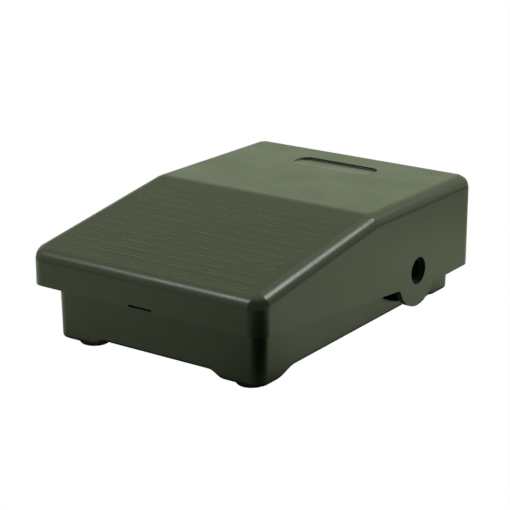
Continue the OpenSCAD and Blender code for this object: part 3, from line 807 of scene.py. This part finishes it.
def tray_shell():
    """Walls, underside with its four legs, and floor of the tray."""
    draft = math.tan(math.radians(1.3))
    bm = bmesh.new()
    rings = []

    def ring(inset, height):
        rear_r, front_r = (max(r - inset, 0.4 * MM) for r in (tray_rear_r, tray_front_r))
        loop = round_rectangle(tray_hw - inset, tray_hl - inset, rear_r, front_r)
        rings.append([bm.verts.new((x, y, height(x, y))) for x, y in loop])

    floor_inset = wall + 1.0 * MM
    ring(floor_inset, lambda x, y: floor_z)
    ring(wall + 0.3 * MM, lambda x, y: floor_z + 0.3 * MM)
    ring(wall, lambda x, y: floor_z + 1.0 * MM)
    ring(wall, lambda x, y: rim_z - 0.4 * MM)
    ring(wall - 0.4 * MM, lambda x, y: rim_z)
    ring(0.4 * MM, lambda x, y: rim_z)
    ring(0, lambda x, y: rim_z - 0.4 * MM)
    for share in (0.25, 0.5, 0.75):
        ring((rim_z - tray_z) * share * draft, lambda x, y: rim_z - (rim_z - tray_z) * share * 0.9)
    foot = (rim_z - tray_z) * draft
    for degrees in (0, 18, 36, 54, 72, 90):
        a = math.radians(degrees)
        inset = foot + tray_foot_round * (1 - math.cos(a))
        ring(inset, lambda x, y: underside_z(x, y) + tray_foot_round * (1 - math.sin(a)))
    inset = foot + tray_foot_round
    while inset < 45 * MM:
        inset += 1.2 * MM
        ring(inset, underside_z)
    skin(bm, rings)
    return new_object("base_tray_shell", bm)


def tray_posts():
    """What stands in the tray or thickens it: bosses, posts, stops and the rims of the foot wells."""
    posts = []
    for sx in (-1, 1):
        boss_x = min(sx * tray_hw, sx * (tray_hw - wall))
        posts.append(rod(hinge_boss_r, (boss_x, pivot.y, pivot.z), wall, "X", 96))
        posts.append(rod(4.9 * MM, (sx * spring_x, spring_y, floor_z - sink), 6.5 * MM))
        left, right = sx * stop_x - 3.5 * MM, sx * stop_x + 3.5 * MM
        posts.append(block((left, -tray_hl + MM, floor_z - sink), (right, -58 * MM, 23 * MM)))
        posts.append(block((left, 56 * MM, floor_z - sink), (right, tray_hl - MM, 27 * MM)))
        for y in (-26 * MM, 24 * MM):
            posts.append(rod(3 * MM, (sx * 30 * MM, y, floor_z - sink), 6.1 * MM))
        for sy in (-1, 1):
            foot = [(0, leg_z), (foot_r + 0.7 * MM, leg_z), (foot_r + MM, leg_z + 0.3 * MM)]
            foot += [(foot_r + MM, floor_z - MM), (0, floor_z - MM)]
            posts.append(lathe(foot, (sx * foot_x, sy * foot_y, 0)))
            posts.append(rod(3.6 * MM, (sx * foot_x, sy * foot_y, floor_z - MM), 4 * MM))
    for y in guard_post_ys:
        posts.append(rod(3 * MM, (0, y, floor_z - sink), 3.5 * MM))
    return posts


def tray_cuts():
    """What is cut from the tray: hinge holes, foot wells, the reliefs by the hinge and screw holes."""
    cuts = []
    well_z, screw_r = leg_z + 1.3 * MM, 1.45 * MM
    for sx in (-1, 1):
        inner = sx * tray_hw - cut_reach
        cuts.append(rod(ear_hole_r, (inner, pivot.y, pivot.z), 2 * cut_reach, "X", 96))
        for sy in (-1, 1):
            well = [(0, leg_z - 2 * MM), (foot_r + fit, leg_z - 2 * MM), (foot_r + fit, well_z)]
            well += [(screw_r, well_z), (screw_r, 10.6 * MM), (0, 10.6 * MM)]
            cuts.append(lathe(well, (sx * foot_x, sy * foot_y, 0)))
        hub = (pivot.y, pivot.z)
        relief = [(13.5 * MM, rim_z + MM), (15.7 * MM, 13.4 * MM), (23.2 * MM, 10.4 * MM)]
        relief += [(28.5 * MM, relief_floor_z), (pivot.y, relief_floor_z)]
        relief += [*arc(hub, hinge_boss_r, 270, 133, 24), (hub[0] - hinge_boss_r * 0.682, rim_z + MM)]
        cuts.append(slab(relief, inner, inner + 2 * cut_reach, "X"))
    for y in guard_post_ys:
        cuts.append(rod(1.15 * MM, (0, y, tray_z + MM), 6 * MM))
    return cuts


def base_tray():
    """The tray with its posts, bosses, hinge holes and reliefs."""
    shell = tray_shell()
    for post in tray_posts():
        combine(shell, post, "UNION")
    for cut in tray_cuts():
        combine(shell, cut, "DIFFERENCE")
    smooth(shell)
    return finish_piece(shell, "base", "tray_plastic", "base_tray")


# ---------------------------------------------------------------- feet, screws and springs

def rubber_feet(corners):
    """Four rubber feet with rounded lower edges, in the legs' wells."""
    top = leg_z + 1.3 * MM
    profile = [(1.6 * MM, top), (1.6 * MM, 2.2 * MM), (3 * MM, 2.2 * MM)]
    profile += [(3 * MM, 0.25 * MM), (3.25 * MM, 0)]
    profile += [(foot_r - 1.2 * MM + r, 1.2 * MM + z) for r, z in arc((0, 0), 1.2 * MM, -90, 0, 6)]
    profile += [(foot_r, top)]
    foot = lathe(profile, steps=72)
    foot.name = "rubber_foot_set"
    grow(foot, corners, Width=2 * foot_x, Length=2 * foot_y, Material=MATERIALS["foot_rubber"])
    smooth(foot, 40)
    return finish_piece(foot, "base", "foot_rubber", "rubber_feet")


def cross_screw(head_r, head_h, shank_r, shank_l):
    """A pan head screw with a cross recess; the head's underside is at z = 0."""
    dome = [(0, head_h), (head_r * 0.45, head_h * 0.97), (head_r * 0.8, head_h * 0.8)]
    dome += [(head_r, head_h * 0.4), (head_r, 0)]
    threads = []
    pitch = 0.8 * MM
    for i in range(int(shank_l / pitch)):
        z = -0.3 * MM - i * pitch
        threads += [(shank_r * 0.86, z), (shank_r, z - pitch / 2)]
    profile = [*dome, (shank_r * 0.86, 0), *threads, (shank_r * 0.5, -shank_l), (0, -shank_l)]
    screw = lathe(profile, steps=40)
    size = head_r * 0.6
    for a, b in ((size, size * 0.2), (size * 0.2, size)):
        combine(screw, block((-a, -b, head_h * 0.4), (a, b, head_h * 2)), "DIFFERENCE")
    return screw


def foot_screws(corners):
    """The screws that hold the feet, heads down inside them."""
    screw = cross_screw(2.7 * MM, 1.4 * MM, 1.4 * MM, 8 * MM)
    screw.name = "foot_screw_set"
    screw.data.transform(Matrix.Rotation(math.pi, 4, "X"))
    grow(screw, corners, Width=2 * foot_x, Length=2 * foot_y, Material=MATERIALS["screw_steel"])
    move(screw, (0, 0, 2.2 * MM))
    smooth(screw, 30)
    return finish_piece(screw, "base", "screw_steel", "foot_screws")


def spring(coil, name, node, radius, wire, turns):
    """A coil spring in the place of its CAD node."""
    lo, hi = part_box(node)
    middle = (lo + hi) / 2
    bm = bmesh.new()
    obj = new_object(name, bm)
    grow(obj, coil, Radius=radius, Wire=wire, Turns=turns, Height=hi.z - lo.z - 2 * wire,
         Material=MATERIALS["spring_steel"])
    move(obj, (middle.x, middle.y, lo.z + wire))
    smooth(obj, 40)
    finish_piece(obj, "base", "spring_steel", node)
    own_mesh(obj)
    return obj


def choke_winding(ring):
    """Turns of enamelled wire round the choke's core."""
    lo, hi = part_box("choke_core")
    middle = (lo + hi) / 2
    wire = 0.45 * MM
    half_x, half_z = 2.0 * MM + wire + fit, (hi.z - lo.z) / 2 + wire + fit
    bm = bmesh.new()
    path = []
    for sx, sz, start in ((1, 1, 0), (-1, 1, 90), (-1, -1, 180), (1, -1, 270)):
        path += arc((sx * (half_x - wire), sz * (half_z - wire)), wire, start, start + 90, 3)
    rings = []
    for k, (x, z) in enumerate(path):
        before, after = Vector(path[k - 1]), Vector(path[(k + 1) % len(path)])
        along = (after - before).normalized()
        out = Vector((along.y, 0, -along.x))
        side, here = Vector((0, 1, 0)), Vector((x, 0, z))
        turn = [math.tau * i / 8 for i in range(8)]
        rings.append([bm.verts.new(here + wire * (out * math.cos(a) + side * math.sin(a))) for a in turn])
    skin(bm, rings, endless=True)
    obj = new_object("choke_winding_turns", bm)
    grow(obj, ring, Count=38, Radius=7.5 * MM, Material=MATERIALS["copper_wire"])
    move(obj, middle)
    smooth(obj, 60)
    return finish_piece(obj, "base", "copper_wire", "choke_winding")


def dress_cad_nodes():
    """Gives every CAD node that stays its own finish."""
    slots = {s["node"]: s["material_slot"] for s in frame["record"]["subparts"]}
    for node, obj in frame["nodes"].items():
        obj.data.materials.clear()
        obj.data.materials.append(MATERIALS[slots[node]])


# ---------------------------------------------------------------- floor, light and camera

ROOM_CAST = (0.86, 1.0, 0.66, 1)
ROOM_BACK, ROOM_SIDE, ROOM_TOP, ROOM_DIP = 0.86, 0.95, 1.45, 0.55
# Levels of the floor's glow as the pedal sees it, which paint shade round, far from and in front of the pedal.
FLOOR_LEVEL, FLOOR_NEAR, FLOOR_FAR, FLOOR_FRONT = 0.92, 0.8, 0.55, 0.62

# A painted dark patch in the floor's glow in front of the near corner, standing in for shade there: its middle,
# and where it starts and ends to fade.
SHADE_PATCH_PLACE, SHADE_PATCH_IN, SHADE_PATCH_OUT = (0.115, -0.115, 0), 0.05, 0.115

# Ways in which the room is dark, backed by a paler wall, and dimmed.
DARK_WAY = (0.766, -0.643, 0)
BACK_WAY = Vector((-0.55, 0.80, 0.22)).normalized()
DIP_WAY = Vector((-0.56, 0.61, 0.56)).normalized()

CAMERA_PLACE = (0.3853, -0.5569, 0.2478)
CAMERA_AZIMUTH, CAMERA_ELEVATION = math.radians(34.883), math.radians(18.056)


def lit_surface(tree, level):
    """Emission that the lens sees as plain white, and the pedal as the cast of the room at a level."""
    white = add(tree, "ShaderNodeEmission")
    cast = add(tree, "ShaderNodeEmission", [(level, "Strength")], Color=ROOM_CAST)
    path = add(tree, "ShaderNodeLightPath")
    either = add(tree, "ShaderNodeMixShader")
    tree.links.new(path.outputs["Is Camera Ray"], either.inputs[0])
    tree.links.new(cast.outputs[0], either.inputs[1])
    tree.links.new(white.outputs[0], either.inputs[2])
    return either.outputs[0]


def level_map(tree, value, start, end, low, high):
    """A level that goes softly from low to high as the value goes from start to end."""
    return add(tree, "ShaderNodeMapRange", [(value, "Value")], interpolation_type="SMOOTHSTEP",
               From_Min=start, From_Max=end, To_Min=low, To_Max=high).outputs[0]


def pale_floor_painted_shade():
    """A wide pale floor that glows, with painted shade in its glow as the pedal sees it: a painted shadow under
    and round the pedal, painted shade in front of, behind and far from it, and a painted dark patch in front of
    the near corner.
    """
    bm = bmesh.new()
    bmesh.ops.create_grid(bm, x_segments=1, y_segments=1, size=6)
    floor = new_object("floor", bm)
    mat, tree, shader = new_material("pale_floor_painted_shade")
    where = add(tree, "ShaderNodeTexCoord")
    size = add(tree, "ShaderNodeVectorMath", [(where.outputs["Object"], 0)], operation="ABSOLUTE")
    beyond = add(tree, "ShaderNodeVectorMath", [(size.outputs[0], 0)], operation="SUBTRACT")
    beyond.inputs[1].default_value = (tray_hw, tray_hl, 0)
    outside = add(tree, "ShaderNodeVectorMath", [(beyond.outputs[0], 0)], operation="MAXIMUM")
    gap = add(tree, "ShaderNodeVectorMath", [(outside.outputs[0], 0)], operation="LENGTH")
    # Painted shadow under the pedal, fading out within 6 cm of it.
    under = level_map(tree, gap.outputs["Value"], 0, 0.01, 0.05, FLOOR_NEAR)
    near = level_map(tree, gap.outputs["Value"], 0, 0.06, 1.0, 1.0 / FLOOR_NEAR)
    # Painted shade far from the pedal.
    far = level_map(tree, gap.outputs["Value"], 0.09, 0.3, 1.0, FLOOR_FAR)
    split = add(tree, "ShaderNodeSeparateXYZ", [(where.outputs["Object"], "Vector")])
    # Painted shade in front of the pedal, deeper towards the right.
    left_to_right = level_map(tree, split.outputs["X"], -0.13, 0.03, 0.95, FLOOR_FRONT)
    in_front = level_map(tree, split.outputs["Y"], -0.09, -0.03, 1.0, 0.0)
    painted_front_shade = math_node(tree, "MULTIPLY", in_front, math_node(tree, "SUBTRACT", 1.0, left_to_right))
    # Painted shade behind the pedal.
    rear = level_map(tree, split.outputs["Y"], 0.1, 0.2, 1.0, 0.8)
    # Painted shade: the glow drops to nothing near the patch's middle in front of the near corner.
    away = add(tree, "ShaderNodeVectorMath", [(where.outputs["Object"], 0)], operation="DISTANCE")
    away.inputs[1].default_value = SHADE_PATCH_PLACE
    level = level_map(tree, away.outputs["Value"], SHADE_PATCH_IN, SHADE_PATCH_OUT, 0.0, FLOOR_LEVEL)
    for part in (under, near, far, rear, math_node(tree, "SUBTRACT", 1.0, painted_front_shade)):
        level = math_node(tree, "MULTIPLY", level, part)
    tree.links.new(lit_surface(tree, level), tree.nodes["Material Output"].inputs["Surface"])
    tree.nodes.remove(shader)
    floor.data.materials.append(mat)


def along_way(tree, where, way):
    """How far a direction in the room points along a way."""
    dot = add(tree, "ShaderNodeVectorMath", [(where.outputs["Generated"], 0)], operation="DOT_PRODUCT")
    dot.inputs[1].default_value = way
    return dot.outputs["Value"]


def soft_room():
    """A pale room, bright overhead and at the sides, dimmer behind and dark by the near corner."""
    world = bpy.data.worlds.new("soft_room")
    bpy.context.scene.world = world
    world.use_nodes = True
    tree = world.node_tree
    tree.nodes.remove(tree.nodes["Background"])
    where = add(tree, "ShaderNodeTexCoord")
    dark = level_map(tree, along_way(tree, where, DARK_WAY), -0.05, 0.4, 1.0, 0.3)
    back = level_map(tree, along_way(tree, where, BACK_WAY), 0.90, 0.985, ROOM_SIDE, ROOM_BACK)
    dip = level_map(tree, along_way(tree, where, DIP_WAY), 0.955, 0.988, 1.0, ROOM_DIP)
    split = add(tree, "ShaderNodeSeparateXYZ", [(where.outputs["Generated"], "Vector")])
    level = level_map(tree, split.outputs["Z"], 0.6, 0.8, 1.0, ROOM_TOP)
    for part in (dark, back, dip):
        level = math_node(tree, "MULTIPLY", level, part)
    tree.links.new(lit_surface(tree, level), tree.nodes["World Output"].inputs["Surface"])


def softbox(name, direction, distance, size, power):
    """A square soft light that looks at the pedal from a direction."""
    data = bpy.data.lights.new(name, "AREA")
    data.shape = "SQUARE"
    data.size = size
    data.energy = power
    light = bpy.data.objects.new(name, data)
    way = Vector(direction).normalized()
    light.location = way * distance + Vector((0, 0, 0.03))
    light.rotation_euler = way.to_track_quat("Z", "Y").to_euler()
    bpy.context.scene.collection.objects.link(light)


def camera():
    """Three-quarter view from the front right, a little above."""
    data = bpy.data.cameras.new("camera")
    data.sensor_width = 36
    data.lens = 122.6
    cam = bpy.data.objects.new("camera", data)
    level, height = math.cos(CAMERA_ELEVATION), math.sin(CAMERA_ELEVATION)
    back = Vector((math.sin(CAMERA_AZIMUTH) * level, -math.cos(CAMERA_AZIMUTH) * level, height))
    right = Vector((math.cos(CAMERA_AZIMUTH), math.sin(CAMERA_AZIMUTH), 0))
    up = back.cross(right)
    turn = Matrix((right, up, back)).transposed().to_4x4()
    cam.matrix_world = Matrix.Translation(CAMERA_PLACE) @ turn
    bpy.context.scene.collection.objects.link(cam)
    bpy.context.scene.camera = cam


camera()
pale_floor_painted_shade()
soft_room()
softbox("back_right_softbox", (0.50, 0.53, 0.68), 1.2, 0.42, 4.8)
softbox("front_left_softbox", (-0.485, -0.605, 0.63), 1.2, 0.2, 1.7)
bpy.context.scene.view_settings.view_transform = "Standard"

ROW, CORNERS, COIL, RING = row_tree(), corners_tree(), coil_tree(), ring_tree()
dress_cad_nodes()
pedal_cover(ROW)
base_tray()
rubber_feet(CORNERS)
foot_screws(CORNERS)
for side in ("left", "right"):
    spring(COIL, side + "_return_spring", "return_spring_" + side, 6 * MM, 0.7 * MM, 8)
spring(COIL, "control_spring", "plunger_spring", 3.6 * MM, 0.35 * MM, 6)
choke_winding(RING)
